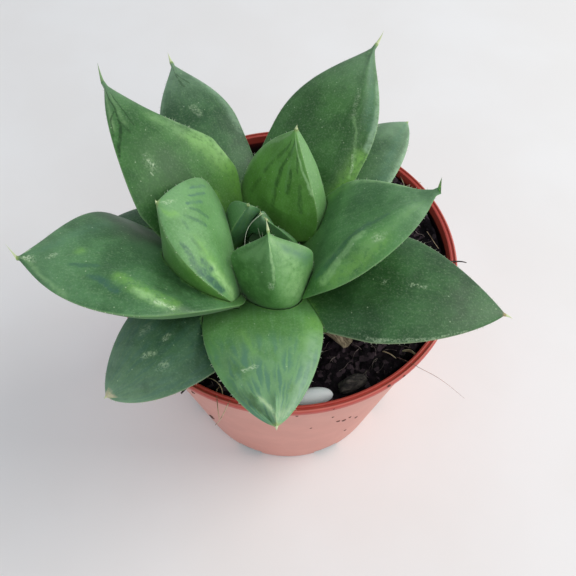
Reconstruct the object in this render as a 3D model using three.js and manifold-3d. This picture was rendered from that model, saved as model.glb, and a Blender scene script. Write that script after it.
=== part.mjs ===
import * as THREE from 'three';
import { mergeVertices } from 'three/addons/utils/BufferGeometryUtils.js';
import Module from 'manifold-3d';

// A haworthia rosette in a small plastic nursery pot. Millimetres, +Z up.
// The origin is the centre of the pot's underside. The front of the plant looks along -Y.

// Driving sizes of the pot: a standard 8.5 cm nursery pot.
const rimRadius = 42.5;
const potHeight = 71;
const baseRadius = 31.5;
const wallThickness = 0.9;
const lipWidth = 1.2;
const lipHeight = 2;
const floorThickness = 1.2;
const slotCount = 8;
const slotWidth = 8;
const slotHeight = 3;
const slotDepth = 6;

// Driving sizes of what the pot holds.
const soilLevel = 66;
const clearance = 0.3;
const plantX = -7;
const plantY = -5;
const stemFoot = 56;
const stemShoulder = 74;
const stemTop = 83;
const stemFootRadius = 5;
const stemShoulderRadius = 6;
const stemTopRadius = 2;

const colours = {
  pot: 0xc4735f,
  soil: 0x1e1719,
  stem: 0x9a9468,
  oldLeaf: 0x3f6b4a,
  leaf: 0x46803f,
  youngLeaf: 0x63a04c,
  pebble: 0xb9c3c8,
  chip: 0x4a474c,
  husk: 0xb79c74,
};

const wasm = await Module();
wasm.setup();

// A closed three.js geometry becomes a solid that can be joined and cut.
function toSolid(geometry) {
  const bare = geometry.index ? geometry.toNonIndexed() : geometry.clone();
  bare.deleteAttribute('normal');
  bare.deleteAttribute('uv');
  const merged = mergeVertices(bare, 1e-4);
  return new wasm.Manifold(new wasm.Mesh({
    numProp: 3,
    vertProperties: new Float32Array(merged.attributes.position.array),
    triVerts: new Uint32Array(merged.index.array),
  }));
}

function toGeometry(solid) {
  const mesh = solid.getMesh();
  const geometry = new THREE.BufferGeometry();
  const points = new Float32Array(mesh.numVert * 3);
  for (let i = 0; i < mesh.numVert; i += 1) {
    for (let axis = 0; axis < 3; axis += 1) {
      points[i * 3 + axis] = mesh.vertProperties[i * mesh.numProp + axis];
    }
  }
  geometry.setAttribute('position', new THREE.BufferAttribute(points, 3));
  geometry.setIndex(Array.from(mesh.triVerts));
  geometry.computeVertexNormals();
  return geometry;
}

// Where a cut leaves loose scraps, only the body with the greatest volume is kept.
function mainBody(solid) {
  const bodies = solid.decompose();
  bodies.sort((a, b) => b.volume() - a.volume());
  return bodies[0];
}

// Rings of points, each with the same count, are skinned and closed by a point at each end.
function skin(rings, startPoint, endPoint) {
  const sides = rings[0].length;
  const points = [startPoint, ...rings.flat(), endPoint];
  const last = points.length - 1;
  const faces = [];
  for (let j = 0; j < sides; j += 1) {
    const next = (j + 1) % sides;
    faces.push(0, 1 + next, 1 + j);
    faces.push(last, last - sides + j, last - sides + next);
  }
  for (let i = 0; i < rings.length - 1; i += 1) {
    const lower = 1 + i * sides;
    const upper = lower + sides;
    for (let j = 0; j < sides; j += 1) {
      const next = (j + 1) % sides;
      faces.push(lower + j, lower + next, upper + next);
      faces.push(lower + j, upper + next, upper + j);
    }
  }
  const geometry = new THREE.BufferGeometry();
  const flat = points.flatMap((p) => [p.x, p.y, p.z]);
  geometry.setAttribute('position', new THREE.BufferAttribute(new Float32Array(flat), 3));
  geometry.setIndex(faces);
  return geometry;
}

// The pot: a turned, tapering wall with a flat lip, a floor, and slots cut
// through the corner of floor and wall.
const underLip = potHeight - lipHeight;
const wallTopRadius = rimRadius - lipWidth;

function wallRadiusAt(height) {
  return baseRadius + ((wallTopRadius - baseRadius) * height) / underLip;
}

function turnedSolid(profile, segments) {
  const turned = new THREE.LatheGeometry(profile.map(([r, z]) => new THREE.Vector2(r, z)), segments);
  turned.rotateX(Math.PI / 2);
  return toSolid(turned);
}

function makePot() {
  const segments = 64;
  const cornerHeight = 0.8;
  const lipRound = 0.4;
  const profile = [
    [0, 0],
    [baseRadius - cornerHeight, 0],
    [wallRadiusAt(cornerHeight), cornerHeight],
    [wallTopRadius, underLip],
    [rimRadius, underLip],
    [rimRadius, potHeight - lipRound],
    [rimRadius - lipRound, potHeight],
    [wallRadiusAt(potHeight) - wallThickness, potHeight],
    [wallRadiusAt(floorThickness) - wallThickness, floorThickness],
    [0, floorThickness],
  ];
  let solid = turnedSolid(profile, segments);
  for (let i = 0; i < slotCount; i += 1) {
    const slot = new THREE.BoxGeometry(2 * slotDepth, slotWidth, 2 * slotHeight);
    slot.translate(baseRadius, 0, 0);
    slot.rotateZ(((i + 0.5) * 2 * Math.PI) / slotCount);
    solid = solid.subtract(toSolid(slot));
  }
  return solid;
}

// The stem is short and upright, hidden among the leaf bases. Thick fleshy
// roots leave its foot and spread down through the soil.
const rootPlan = [
  { heading: 20, reach: 26, depth: 24, radius: 1.7 },
  { heading: 80, reach: 22, depth: 34, radius: 1.5 },
  { heading: 140, reach: 18, depth: 28, radius: 1.7 },
  { heading: 200, reach: 20, depth: 38, radius: 1.6 },
  { heading: 262, reach: 24, depth: 26, radius: 1.5 },
  { heading: 320, reach: 26, depth: 32, radius: 1.7 },
];
const rootSteps = 7;
const rootSides = 6;
const rootThinning = 0.6;
const rootBendOut = 0.7;
const rootBendDown = 0.25;

function makeRoot(root, grow) {
  const angle = THREE.MathUtils.degToRad(root.heading);
  const out = new THREE.Vector3(Math.cos(angle), Math.sin(angle), 0);
  const side = new THREE.Vector3(-out.y, out.x, 0);
  const start = new THREE.Vector3(plantX, plantY, stemFoot + root.radius);
  const end = start.clone().addScaledVector(out, root.reach);
  end.z -= root.depth;
  const middle = start.clone().addScaledVector(out, root.reach * rootBendOut);
  middle.z -= root.depth * rootBendDown;
  const curve = new THREE.QuadraticBezierCurve3(start, middle, end);
  const rings = [];
  for (let i = 0; i <= rootSteps; i += 1) {
    const along = i / rootSteps;
    const centre = curve.getPoint(along);
    const up = new THREE.Vector3().crossVectors(side, curve.getTangent(along)).normalize();
    const radius = root.radius * (1 - rootThinning * along) + grow;
    const ring = [];
    for (let j = 0; j < rootSides; j += 1) {
      const turn = (j * 2 * Math.PI) / rootSides;
      ring.push(centre.clone()
        .addScaledVector(side, radius * Math.cos(turn))
        .addScaledVector(up, -radius * Math.sin(turn)));
    }
    rings.push(ring);
  }
  const tipRadius = root.radius * (1 - rootThinning) + grow;
  const tip = end.clone().addScaledVector(curve.getTangent(1), tipRadius);
  return toSolid(skin(rings, start, tip));
}

function makeStem(grow) {
  const segments = 16;
  const footDrop = 2;
  const bottom = stemFoot - footDrop - grow;
  const profile = [
    [0, bottom],
    [stemFootRadius / 2 + grow, bottom],
    [stemFootRadius + grow, stemFoot],
    [stemShoulderRadius + grow, stemShoulder],
    [stemTopRadius + grow, stemTop + grow],
    [0, stemTop + grow],
  ];
  let solid = turnedSolid(profile, segments).translate([plantX, plantY, 0]);
  for (const root of rootPlan) {
    solid = solid.add(makeRoot(root, grow));
  }
  return solid;
}

// One fleshy leaf. Its spine is a curve from the stem to the tip. Across the
// spine lies a broad section: gently crowned on top, keeled like a boat below.
// heading turns about the stem, reach is the distance of the tip from the stem's
// axis, foot and tipHeight are heights above the pot's underside, and arch, sway
// and bow push the middle of the spine up, sideways and outwards. roll and twist
// turn the blade about the spine. width and depth are its greatest measures, and
// the other values say how full the blade is at the neck, foot, middle and tip.
// A lower tipKeelPower makes the keel near the tip sharper.
const leafDefaults = {
  footRadius: 6,
  sway: 0,
  bow: 0,
  roll: 0,
  twist: 0,
  neck: 0.45,
  baseWidth: 0.9,
  widest: 0.45,
  shoulder: 2,
  taper: 1.2,
  keelShift: 0,
  crown: 1.6,
  tipKeelPower: 1.6,
  awn: 3,
  awnLift: 25,
  colour: colours.leaf,
};

// From the oldest and lowest leaf to the bud in the heart.
const leafPlan = [
  { name: 'leaf_left_low', heading: 176, foot: 71, reach: 42, tipHeight: 80, arch: 3, sway: 1, width: 22,
    depth: 6, colour: colours.oldLeaf },
  { name: 'leaf_back_right_low', heading: 44, foot: 71.5, reach: 53, tipHeight: 84, arch: 3.5, width: 22,
    depth: 7, taper: 0.8, awn: 0.6, roll: -3, colour: colours.oldLeaf },
  { name: 'leaf_front_left_low', heading: 229, foot: 72, reach: 47.5, tipHeight: 76.5, arch: 4.5, sway: -2,
    width: 26, depth: 5.5, taper: 0.7, roll: 4, awn: 0.8, awnLift: 0, colour: colours.oldLeaf },
  { name: 'leaf_back_left', heading: 115, foot: 73, reach: 55.5, tipHeight: 92, arch: 4, sway: -0.5,
    width: 19.5, depth: 7, widest: 0.55, taper: 1.4, roll: -2, awnLift: 30, colour: colours.oldLeaf },
  { name: 'leaf_right', heading: -21, foot: 73, reach: 57, tipHeight: 84, arch: 6, sway: 2.5, width: 29,
    depth: 8, widest: 0.5, shoulder: 1.5, taper: 0.9, awn: 2.5, awnLift: -20, colour: colours.oldLeaf },
  { name: 'leaf_left', heading: 199, foot: 72, footRadius: 6.7, reach: 48.8, tipHeight: 98, arch: 7.1,
    sway: -3, width: 36, depth: 9.5, baseWidth: 0.75, widest: 0.48, shoulder: 1.9, taper: 1.1,
    roll: 29.5, twist: -28, awn: 5, awnLift: 88 },
  { name: 'leaf_front', heading: 276, foot: 74, footRadius: 5.6, reach: 46, tipHeight: 86.5, arch: 2.4,
    bow: -0.8, sway: 0.7, width: 26, depth: 8, widest: 0.4, shoulder: 1.85, taper: 0.72,
    twist: -4, awn: 0.8, awnLift: -20 },
  { name: 'leaf_back', heading: 59, foot: 75, reach: 56.5, tipHeight: 99, arch: 3.5, sway: -0.5,
    width: 25.5, depth: 8, shoulder: 2.2, taper: 1.5, awn: 4, awnLift: 20 },
  { name: 'leaf_upper_left', heading: 140, foot: 75, reach: 46, tipHeight: 103, arch: 10, sway: -4,
    width: 29, depth: 8, widest: 0.35, shoulder: 1.1, taper: 1.4, roll: 10, twist: 8, awn: 5, awnLift: 45 },
  { name: 'leaf_upper_right', heading: -1.5, foot: 76, footRadius: 8.3, reach: 38, tipHeight: 100,
    arch: 5.5, bow: -1.1, sway: 3.2, width: 28, depth: 10.7, neck: 0.32, baseWidth: 0.97, widest: 0.35,
    shoulder: 1.65, taper: 1.05, roll: -9.3, twist: 18, keelShift: -0.27, awn: 6, awnLift: 98 },
  { name: 'leaf_inner_back', heading: 59, foot: 77, footRadius: 5, reach: 17, tipHeight: 103.5, arch: -3.5,
    bow: 1, sway: -1, width: 25, depth: 7, taper: 1.1, roll: -8, twist: -19, keelShift: 0.4,
    awn: 1.2, awnLift: 0, colour: colours.youngLeaf },
  { name: 'leaf_inner_front', heading: 289, foot: 74.5, footRadius: 10.5, reach: 9, tipHeight: 98,
    arch: -0.5, bow: 2, width: 17.5, depth: 6.5, neck: 1, baseWidth: 0.76, widest: 0.73,
    shoulder: 2.6, taper: 2.6, roll: -5, twist: -19, keelShift: -0.1, tipKeelPower: 1.1,
    awnLift: 0, colour: colours.youngLeaf },
  { name: 'leaf_inner_left', heading: 193, foot: 70.5, reach: 20, tipHeight: 102, arch: 4,
    bow: -3.4, sway: -2.5, width: 29, depth: 11.5, neck: 0.5, baseWidth: 0.7, shoulder: 2.4, taper: 0.85,
    roll: 1, twist: -12, keelShift: -0.25, awn: 1.2, awnLift: 60, colour: colours.youngLeaf },
  { name: 'leaf_heart_left', heading: 137, foot: 77.5, footRadius: 4, reach: 2.3, tipHeight: 93.7,
    arch: 0, bow: 1.1, sway: 0.35, width: 10.5, depth: 4.5, neck: 0.8, baseWidth: 0.95, widest: 0.4,
    shoulder: 1.7, taper: 1.6, roll: -3, twist: 5, crown: 0.6, awn: 2, awnLift: 0,
    colour: colours.youngLeaf },
  { name: 'leaf_heart_right', heading: -10, foot: 80, reach: 2.3, tipHeight: 91,
    arch: -2.2, bow: 0.8, sway: -1, width: 5, depth: 4.5, neck: 0.75, baseWidth: 0.95, shoulder: 1.4,
    taper: 1.6, roll: -15, twist: -14, keelShift: 0.15, crown: 0.3, awn: 2, awnLift: 0,
    colour: colours.youngLeaf },
  { name: 'leaf_bud', heading: 70, foot: 78.5, footRadius: 2, reach: 2.5, tipHeight: 89.5, arch: 0,
    bow: 0.3, width: 7, depth: 3, neck: 0.8, baseWidth: 0.95, shoulder: 1.6, taper: 1.5, roll: 15,
    twist: -4, crown: 0.4, awn: 2, awnLift: 0, colour: colours.youngLeaf },
];

const stations = 16;
const stationCrowding = 1.25;
const sectionPoints = 16;
const marginHalf = 0.35;
const marginSwell = 1;
const tipKeel = 0.1;
const neckEnd = 0.2;
const deepest = 0.45;
const footDepth = 0.3;
const depthFade = 2.2;
const crownStart = 0.15;
const crownGain = 4;
const footHollow = 0.6;
const footKeelPower = 2.6;
const keelSharpens = [0.15, 0.75];

function leafSection(plan, u) {
  const neck = plan.neck + (1 - plan.neck) * THREE.MathUtils.smoothstep(u, 0, neckEnd);
  const quarter = Math.PI / 2;
  const filling = Math.sin(quarter * Math.min(u / plan.widest, 1));
  const beforeWidest = plan.baseWidth + (1 - plan.baseWidth) * filling;
  const past = Math.max((u - plan.widest) / (1 - plan.widest), 0);
  const afterWidest = (1 - past ** plan.shoulder) ** plan.taper;
  const share = (u < plan.widest ? beforeWidest : afterWidest) * neck;
  const rise = footDepth + (1 - footDepth) * Math.sin(quarter * Math.min(u / deepest, 1));
  const fall = 1 - Math.max((u - deepest) / (1 - deepest), 0) ** depthFade;
  const sharpness = THREE.MathUtils.smoothstep(u, ...keelSharpens);
  return {
    half: Math.max((plan.width / 2) * share, marginHalf),
    edge: marginHalf * (1 + marginSwell * Math.sin(Math.PI * u)),
    keel: Math.max(plan.depth * (u < deepest ? rise : fall), tipKeel),
    crown: plan.crown * share * THREE.MathUtils.clamp(crownGain * (u - crownStart), -footHollow, 1),
    keelPower: THREE.MathUtils.lerp(footKeelPower, plan.tipKeelPower, sharpness),
  };
}

function leafRing(centre, side, up, section, keelShift, grow) {
  const ring = [];
  for (let j = 0; j < sectionPoints; j += 1) {
    const turn = (j * 2 * Math.PI) / sectionPoints;
    const across = Math.sin(turn);
    const above = Math.cos(turn);
    const fullness = 1 - Math.abs(across) ** section.keelPower;
    let sideways = (section.half + grow) * across;
    let upwards = (section.edge + grow) * above;
    if (above >= 0) {
      upwards += section.crown * above * above;
    } else {
      sideways += keelShift * section.half * fullness;
      upwards -= section.keel * fullness;
    }
    ring.push(centre.clone().addScaledVector(side, sideways).addScaledVector(up, upwards));
  }
  return ring;
}

function makeLeaf(leaf, grow) {
  const plan = { ...leafDefaults, ...leaf };
  const angle = THREE.MathUtils.degToRad(plan.heading);
  const out = new THREE.Vector3(Math.cos(angle), Math.sin(angle), 0);
  const right = new THREE.Vector3(Math.sin(angle), -Math.cos(angle), 0);
  const axis = new THREE.Vector3(plantX, plantY, 0);
  const start = axis.clone().addScaledVector(out, plan.footRadius);
  start.z = plan.foot;
  const end = axis.clone().addScaledVector(out, plan.reach);
  end.z = plan.tipHeight;
  const middle = start.clone().lerp(end, 0.5)
    .addScaledVector(out, 2 * plan.bow)
    .addScaledVector(right, 2 * plan.sway);
  middle.z += 2 * plan.arch;
  const spine = new THREE.QuadraticBezierCurve3(start, middle, end);

  const rings = [];
  let centre = start;
  let forward = out;
  let up = new THREE.Vector3(0, 0, 1);
  for (let i = 0; i < stations; i += 1) {
    const u = 1 - (1 - i / (stations - 1)) ** stationCrowding;
    centre = spine.getPoint(u);
    forward = spine.getTangent(u);
    const level = right.clone().addScaledVector(forward, -right.dot(forward)).normalize();
    const above = new THREE.Vector3().crossVectors(level, forward);
    const lean = THREE.MathUtils.degToRad(plan.roll + plan.twist * u);
    const side = level.clone().multiplyScalar(Math.cos(lean)).addScaledVector(above, -Math.sin(lean));
    up = above.clone().multiplyScalar(Math.cos(lean)).addScaledVector(level, Math.sin(lean));
    if (i === 0) {
      centre.addScaledVector(forward, -grow);
    }
    rings.push(leafRing(centre, side, up, leafSection(plan, u), plan.keelShift, grow));
  }
  const foot = rings[0][0].clone().lerp(rings[0][sectionPoints / 2], 0.5);
  const lift = THREE.MathUtils.degToRad(plan.awnLift);
  const point = centre.clone()
    .addScaledVector(forward, (plan.awn + grow) * Math.cos(lift))
    .addScaledVector(up, (plan.awn + grow) * Math.sin(lift));
  return toSolid(skin(rings, foot, point));
}

// The soil fills the pot to a few millimetres under the lip. Its top is loose
// and crumbly: waves of three sizes, each with a height and two wavelengths.
const soilWaves = [
  { height: 0.7, length: 47, cross: 57, slant: 0 },
  { height: 0.45, length: 16, cross: 18, slant: 0.8 },
  { height: 0.3, length: 3.3, cross: 3.9, slant: -0.4 },
];

function soilHeight(x, y) {
  let height = soilLevel;
  for (const wave of soilWaves) {
    const first = Math.sin((2 * Math.PI * (x + wave.slant * y)) / wave.length);
    const second = Math.cos((2 * Math.PI * (y - wave.slant * x)) / wave.cross);
    height += wave.height * first * second;
  }
  return height;
}

function makeSoil() {
  const segments = 48;
  const circles = 11;
  const shoulderDrop = 0.6;
  const edgeGap = 0.4;
  const bottom = floorThickness + clearance;
  const wallGap = wallThickness + clearance;
  const rings = [];
  for (const level of [bottom, soilLevel - shoulderDrop]) {
    const ring = [];
    for (let j = 0; j < segments; j += 1) {
      const turn = (j * 2 * Math.PI) / segments;
      const radius = wallRadiusAt(level) - wallGap;
      ring.push(new THREE.Vector3(radius * Math.cos(turn), radius * Math.sin(turn), level));
    }
    rings.push(ring);
  }
  const topRadius = wallRadiusAt(soilLevel) - wallGap;
  for (let i = circles; i > 0; i -= 1) {
    const ring = [];
    const stagger = i % 2 === 0 ? 0 : 0.5;
    for (let j = 0; j < segments; j += 1) {
      const turn = ((j + stagger) * 2 * Math.PI) / segments;
      const radius = topRadius * (i / circles) - edgeGap;
      const x = radius * Math.cos(turn);
      const y = radius * Math.sin(turn);
      ring.push(new THREE.Vector3(x, y, soilHeight(x, y)));
    }
    rings.push(ring);
  }
  const below = new THREE.Vector3(0, 0, bottom);
  const above = new THREE.Vector3(0, 0, soilHeight(0, 0));
  return toSolid(skin(rings, below, above));
}

// A smooth pale pebble and a dark chip lie half sunk in the soil at the front.
// Each is a ball pulled out to three half-sizes and worn unevenly.
const pebble = { place: [5.4, -36.9, 66], halfSizes: [5, 2.2, 2], turn: 9, wear: 0.05 };
const chip = { place: [14.8, -33.7, 66], halfSizes: [3.6, 1.9, 1.9], turn: 24, wear: 0.16 };
const ballDetail = 2;

function makeLump(lump, grow) {
  const ball = new THREE.IcosahedronGeometry(1, ballDetail);
  const position = ball.attributes.position;
  for (let i = 0; i < position.count; i += 1) {
    const p = new THREE.Vector3().fromBufferAttribute(position, i);
    const uneven = 1 + lump.wear * Math.sin(2 * p.x + 1) * Math.cos(3 * p.y - 2 * p.z);
    position.setXYZ(
      i,
      p.x * (lump.halfSizes[0] * uneven + grow),
      p.y * (lump.halfSizes[1] * uneven + grow),
      p.z * (lump.halfSizes[2] * uneven + grow),
    );
  }
  ball.rotateZ(THREE.MathUtils.degToRad(lump.turn));
  ball.translate(...lump.place);
  return toSolid(ball);
}

// The dry, papery stub of a leaf that was shed, curled beside the stem.
const husk = {
  place: [8.5, -17.5, 67.2],
  heading: -51,
  length: 9,
  width: 6.4,
  thickness: 0.9,
  narrowing: 0.55,
  humpHeight: 1.6,
  edgeLift: 1.1,
  steps: 6,
  sides: 8,
};

function makeHusk(grow) {
  const angle = THREE.MathUtils.degToRad(husk.heading);
  const forward = new THREE.Vector3(Math.cos(angle), Math.sin(angle), 0);
  const side = new THREE.Vector3(-Math.sin(angle), Math.cos(angle), 0);
  const rings = [];
  const middles = [];
  for (let i = 0; i <= husk.steps; i += 1) {
    const u = i / husk.steps;
    const half = (husk.width / 2) * (1 - husk.narrowing * u * u);
    const centre = new THREE.Vector3(...husk.place).addScaledVector(forward, husk.length * u);
    centre.z += husk.humpHeight * Math.sin(Math.PI * u);
    const ring = [];
    for (let j = 0; j < husk.sides; j += 1) {
      const turn = (j * 2 * Math.PI) / husk.sides;
      const across = Math.cos(turn);
      const point = centre.clone().addScaledVector(side, (half + grow) * across);
      point.z += (husk.thickness / 2 + grow) * Math.sin(turn) + husk.edgeLift * across * across;
      ring.push(point);
    }
    rings.push(ring);
    middles.push(centre);
  }
  return toSolid(skin(rings, middles[0], middles[husk.steps]));
}

// Assembly. Each leaf is hollowed where the younger leaves press into it, and
// where it clasps the stem, and keeps a small clearance to them.
const plant = new THREE.Group();

function addPiece(name, solid, colour, roughness) {
  const material = new THREE.MeshStandardMaterial({ color: colour, roughness, metalness: 0 });
  const mesh = new THREE.Mesh(toGeometry(solid), material);
  mesh.name = name;
  plant.add(mesh);
}

const dull = 0.9;
const satin = 0.45;
const stemRoom = makeStem(clearance);
const soil = makeSoil()
  .subtract(stemRoom)
  .subtract(makeLump(pebble, clearance))
  .subtract(makeLump(chip, clearance))
  .subtract(makeHusk(clearance));

addPiece('pot', makePot(), colours.pot, satin);
addPiece('soil', mainBody(soil), colours.soil, dull);
addPiece('stem_and_roots', makeStem(0), colours.stem, dull);
addPiece('pebble', makeLump(pebble, 0), colours.pebble, satin);
addPiece('bark_chip', makeLump(chip, 0), colours.chip, dull);
addPiece('husk', makeHusk(0), colours.husk, dull);

leafPlan.forEach((leaf, index) => {
  let solid = makeLeaf(leaf, 0).subtract(stemRoom);
  for (const younger of leafPlan.slice(index + 1)) {
    solid = solid.subtract(makeLeaf(younger, clearance));
  }
  addPiece(leaf.name, mainBody(solid), leaf.colour ?? leafDefaults.colour, satin);
});

export default plant;
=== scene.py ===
"""A potted haworthia: a rosette of fleshy leaves in a round nursery pot of soil."""

import random
from math import atan2, cos, degrees, exp, hypot, pi, radians, sin, sqrt, tan
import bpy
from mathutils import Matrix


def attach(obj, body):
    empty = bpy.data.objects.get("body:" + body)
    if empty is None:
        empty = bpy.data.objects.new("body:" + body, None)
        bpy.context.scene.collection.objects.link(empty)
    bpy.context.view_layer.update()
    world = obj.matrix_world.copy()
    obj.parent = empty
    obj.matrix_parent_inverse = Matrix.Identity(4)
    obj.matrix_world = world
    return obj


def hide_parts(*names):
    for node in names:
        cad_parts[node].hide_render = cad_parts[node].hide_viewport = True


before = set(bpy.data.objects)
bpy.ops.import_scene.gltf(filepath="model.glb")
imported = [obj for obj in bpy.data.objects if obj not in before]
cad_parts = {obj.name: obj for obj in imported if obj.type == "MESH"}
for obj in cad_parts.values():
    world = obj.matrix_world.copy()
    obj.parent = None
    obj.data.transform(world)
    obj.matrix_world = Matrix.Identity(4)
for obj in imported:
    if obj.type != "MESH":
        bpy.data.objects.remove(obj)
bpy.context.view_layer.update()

from types import SimpleNamespace

import bmesh
import bpy
from mathutils import Matrix, Vector, noise

# ---
# The camera stands in front of the pot and looks down on it steeply, as one
# does at a plant on a table. Its place is measured from the middle of the
# pot's underside.

mm = 0.001
view_angle = 50
view_drop = 58.67
view_place = Vector((0, -88.9, 199.3)) * mm


def add(name, data):
    """A new object in the scene."""
    made = bpy.data.objects.new(name, data)
    bpy.context.collection.objects.link(made)
    return made


view = bpy.data.cameras.new("view")
view.sensor_width = 36
view.lens = view.sensor_width / 2 / tan(radians(view_angle / 2))
view.clip_start = 5 * mm
camera = add("camera", view)
camera.location = view_place
camera.rotation_euler = (radians(90 - view_drop), 0, 0)
bpy.context.scene.camera = camera

# ---
# The floor is a plain pale sheet. A large soft lamp stands to the right and
# behind, like a window, a weak one in front, and the room is pale all round.


class Paint:
    """A socket of a material. Sums on it add Math nodes to the material."""

    def __init__(self, tree, socket):
        self.tree = tree
        self.socket = socket

    def node(self, kind, settings, sockets, out=0):
        """Adds any other node: settings first, then values and links."""
        made = self.tree.nodes.new(kind)
        for name, value in settings.items():
            setattr(made, name, value)
        for name, value in sockets.items():
            if isinstance(value, Paint):
                self.tree.links.new(value.socket, made.inputs[name])
            else:
                made.inputs[name].default_value = value
        return Paint(self.tree, made.outputs[out])

    def sum(self, operation, *values):
        return self.node("ShaderNodeMath", {"operation": operation}, dict(enumerate(values)))

    def __add__(self, other):
        return self.sum("ADD", self, other)

    __radd__ = __add__

    def __sub__(self, other):
        return self.sum("SUBTRACT", self, other)

    def __rsub__(self, other):
        return self.sum("SUBTRACT", other, self)

    def __mul__(self, other):
        return self.sum("MULTIPLY", self, other)

    __rmul__ = __mul__

    def __pow__(self, other):
        return self.sum("POWER", self, other)

    def __abs__(self):
        return self.sum("ABSOLUTE", self)

    def least(self, other):
        return self.sum("MINIMUM", self, other)

    def most(self, other):
        return self.sum("MAXIMUM", self, other)

    def rise(self, low, high):
        """0 at low, 1 at high and smooth between; low may be the greater."""
        sockets = {"Value": self, "From Min": low, "From Max": high}
        return self.node("ShaderNodeMapRange", {"interpolation_type": "SMOOTHSTEP"}, sockets)

    def blend(self, first, second):
        """The first colour where this is 0 and the second where it is 1."""
        return self.node("ShaderNodeMix", {"data_type": "RGBA"}, {0: self, 6: first, 7: second}, 2)

    def vector(self, operation, other, out="Vector"):
        return self.node("ShaderNodeVectorMath", {"operation": operation}, {0: self, 1: other}, out)

    def parts(self):
        split = self.node("ShaderNodeSeparateXYZ", {}, {"Vector": self}).socket.node
        return [Paint(self.tree, socket) for socket in split.outputs]

    def grain(self, size, detail=2, rough=0.5, out=0):
        """Noise from 0 to 1 with features of this size."""
        sockets = {"Vector": self, "Scale": 1 / size, "Detail": detail, "Roughness": rough}
        return self.node("ShaderNodeTexNoise", {}, sockets, out)

    def cells(self, size, feature="F1", out="Distance"):
        sockets = {"Vector": self, "Scale": 1 / size}
        return self.node("ShaderNodeTexVoronoi", {"feature": feature}, sockets, out)

    def bump(self, depth):
        """A normal for relief of this depth, where the value is the height."""
        return self.node("ShaderNodeBump", {}, {"Height": self, "Distance": depth}, "Normal")


def tone(red, green, blue):
    """A colour given as it looks on a screen, from 0 to 255."""
    parts = [value / 255 for value in (red, green, blue)]
    return (*[v / 12.92 if v < 0.04 else ((v + 0.055) / 1.055) ** 2.4 for v in parts], 1)


def new_finish(name, **constants):
    """A material: its paint on Object coordinates, and its shader."""
    material = bpy.data.materials.new(name)
    material.use_nodes = True
    tree = material.node_tree
    shader = tree.nodes["Principled BSDF"]
    for socket, value in constants.items():
        shader.inputs[socket.replace("_", " ")].default_value = value
    place = Paint(tree, tree.nodes.new("ShaderNodeTexCoord").outputs["Object"])
    return material, place, shader


def feed(shader, **paints):
    """Links paints to the sockets of these names."""
    for socket, paint in paints.items():
        target = shader.inputs[socket.replace("_", " ")]
        shader.id_data.links.new(paint.socket, target)


def smooth_piece(name, data, material):
    """A smoothly shaded object at the origin from mesh data."""
    data.materials.clear()
    data.materials.append(material)
    data.shade_smooth()
    return add(name, data)


def new_piece(name, mesh, material):
    """The same from a bmesh."""
    data = bpy.data.meshes.new(name)
    mesh.to_mesh(data)
    mesh.free()
    return smooth_piece(name, data, material)


floor_half = 1.2
floor_finish, floor_place, floor_shader = new_finish("floor_paint", Roughness=0.75)
mottle = floor_place.grain(60 * mm, 3).rise(0.35, 0.7)
feed(floor_shader, Base_Color=mottle.blend(tone(238, 236, 234), tone(241, 240, 239)))
sheet = bmesh.new()
bmesh.ops.create_grid(sheet, x_segments=1, y_segments=1, size=floor_half)
floor = new_piece("floor", sheet, floor_finish)

room = bpy.data.worlds.new("room")
bpy.context.scene.world = room
room.use_nodes = True
walls = room.node_tree.nodes["Background"].inputs
walls["Color"].default_value = tone(230, 237, 246)
walls["Strength"].default_value = 0.64
bpy.context.scene.view_settings.view_transform = "Standard"

lamp_aim = Vector((0, 0, 0.07))


def new_lamp(name, place, size, power, colour):
    """A square lamp of this size in m and power in W, turned to the plant."""
    light = bpy.data.lights.new(name, "AREA")
    light.shape = "SQUARE"
    light.size = size
    light.energy = power
    light.color = colour[:3]
    lamp = add(name, light)
    lamp.location = place
    lamp.rotation_euler = (lamp_aim - Vector(place)).to_track_quat("-Z", "Y").to_euler()


new_lamp("window", (0.94, 0.19, 0.75), 0.85, 8.8, tone(255, 251, 245))
new_lamp("front", (0.35, -0.55, 0.55), 0.5, 1.3, tone(255, 250, 244))

# ---
# The pot is a thin round nursery pot, injection moulded in one piece from
# soft brick-red plastic. Its wall leans out to a rolled lip, and eight slots
# at the corner of its floor let water out.

rim_radius = 42.5
pot_height = 71
pot_base_radius = 31.5
wall = 0.9
pot_floor = 1.2
under_lip = 69
lip_step = 0.45
wall_top_radius = 41.3
slot_count = 8
slot_width = 8
slot_height = 3
slot_depth = 6
slot_rounding = 0.5


def wall_radius(height):
    return pot_base_radius + (wall_top_radius - pot_base_radius) * height / under_lip


def turned(profile, steps):
    """A closed form of revolution about the pot's axis, from (radius, height) in mm."""
    mesh = bmesh.new()
    points = [mesh.verts.new((radius * mm, 0, height * mm)) for radius, height in profile]
    edges = [mesh.edges.new(pair) for pair in zip(points, points[1:])]
    whole = {"axis": (0, 0, 1), "angle": 2 * pi, "steps": steps, "use_merge": True}
    bmesh.ops.spin(mesh, geom=points + edges, **whole)
    bmesh.ops.remove_doubles(mesh, verts=mesh.verts, dist=0.001 * mm)
    bmesh.ops.recalc_face_normals(mesh, faces=mesh.faces)
    return mesh


def hollow(piece, cutters):
    """Takes the room of other forms out of a piece, then drops those forms."""
    for cutter in cutters:
        cut = piece.modifiers.new("room", "BOOLEAN")
        cut.operation = "DIFFERENCE"
        cut.solver = "MANIFOLD"
        cut.object = cutter
    graph = bpy.context.evaluated_depsgraph_get()
    worn = bpy.data.meshes.new_from_object(piece.evaluated_get(graph))
    piece.modifiers.clear()
    piece.data = worn
    for cutter in cutters:
        bpy.data.objects.remove(cutter)


def crisp(piece, angle):
    """Smooth shading that keeps edges sharper than this angle."""
    piece.data.shade_smooth()
    piece.data.set_sharp_from_angle(angle=radians(angle))


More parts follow.
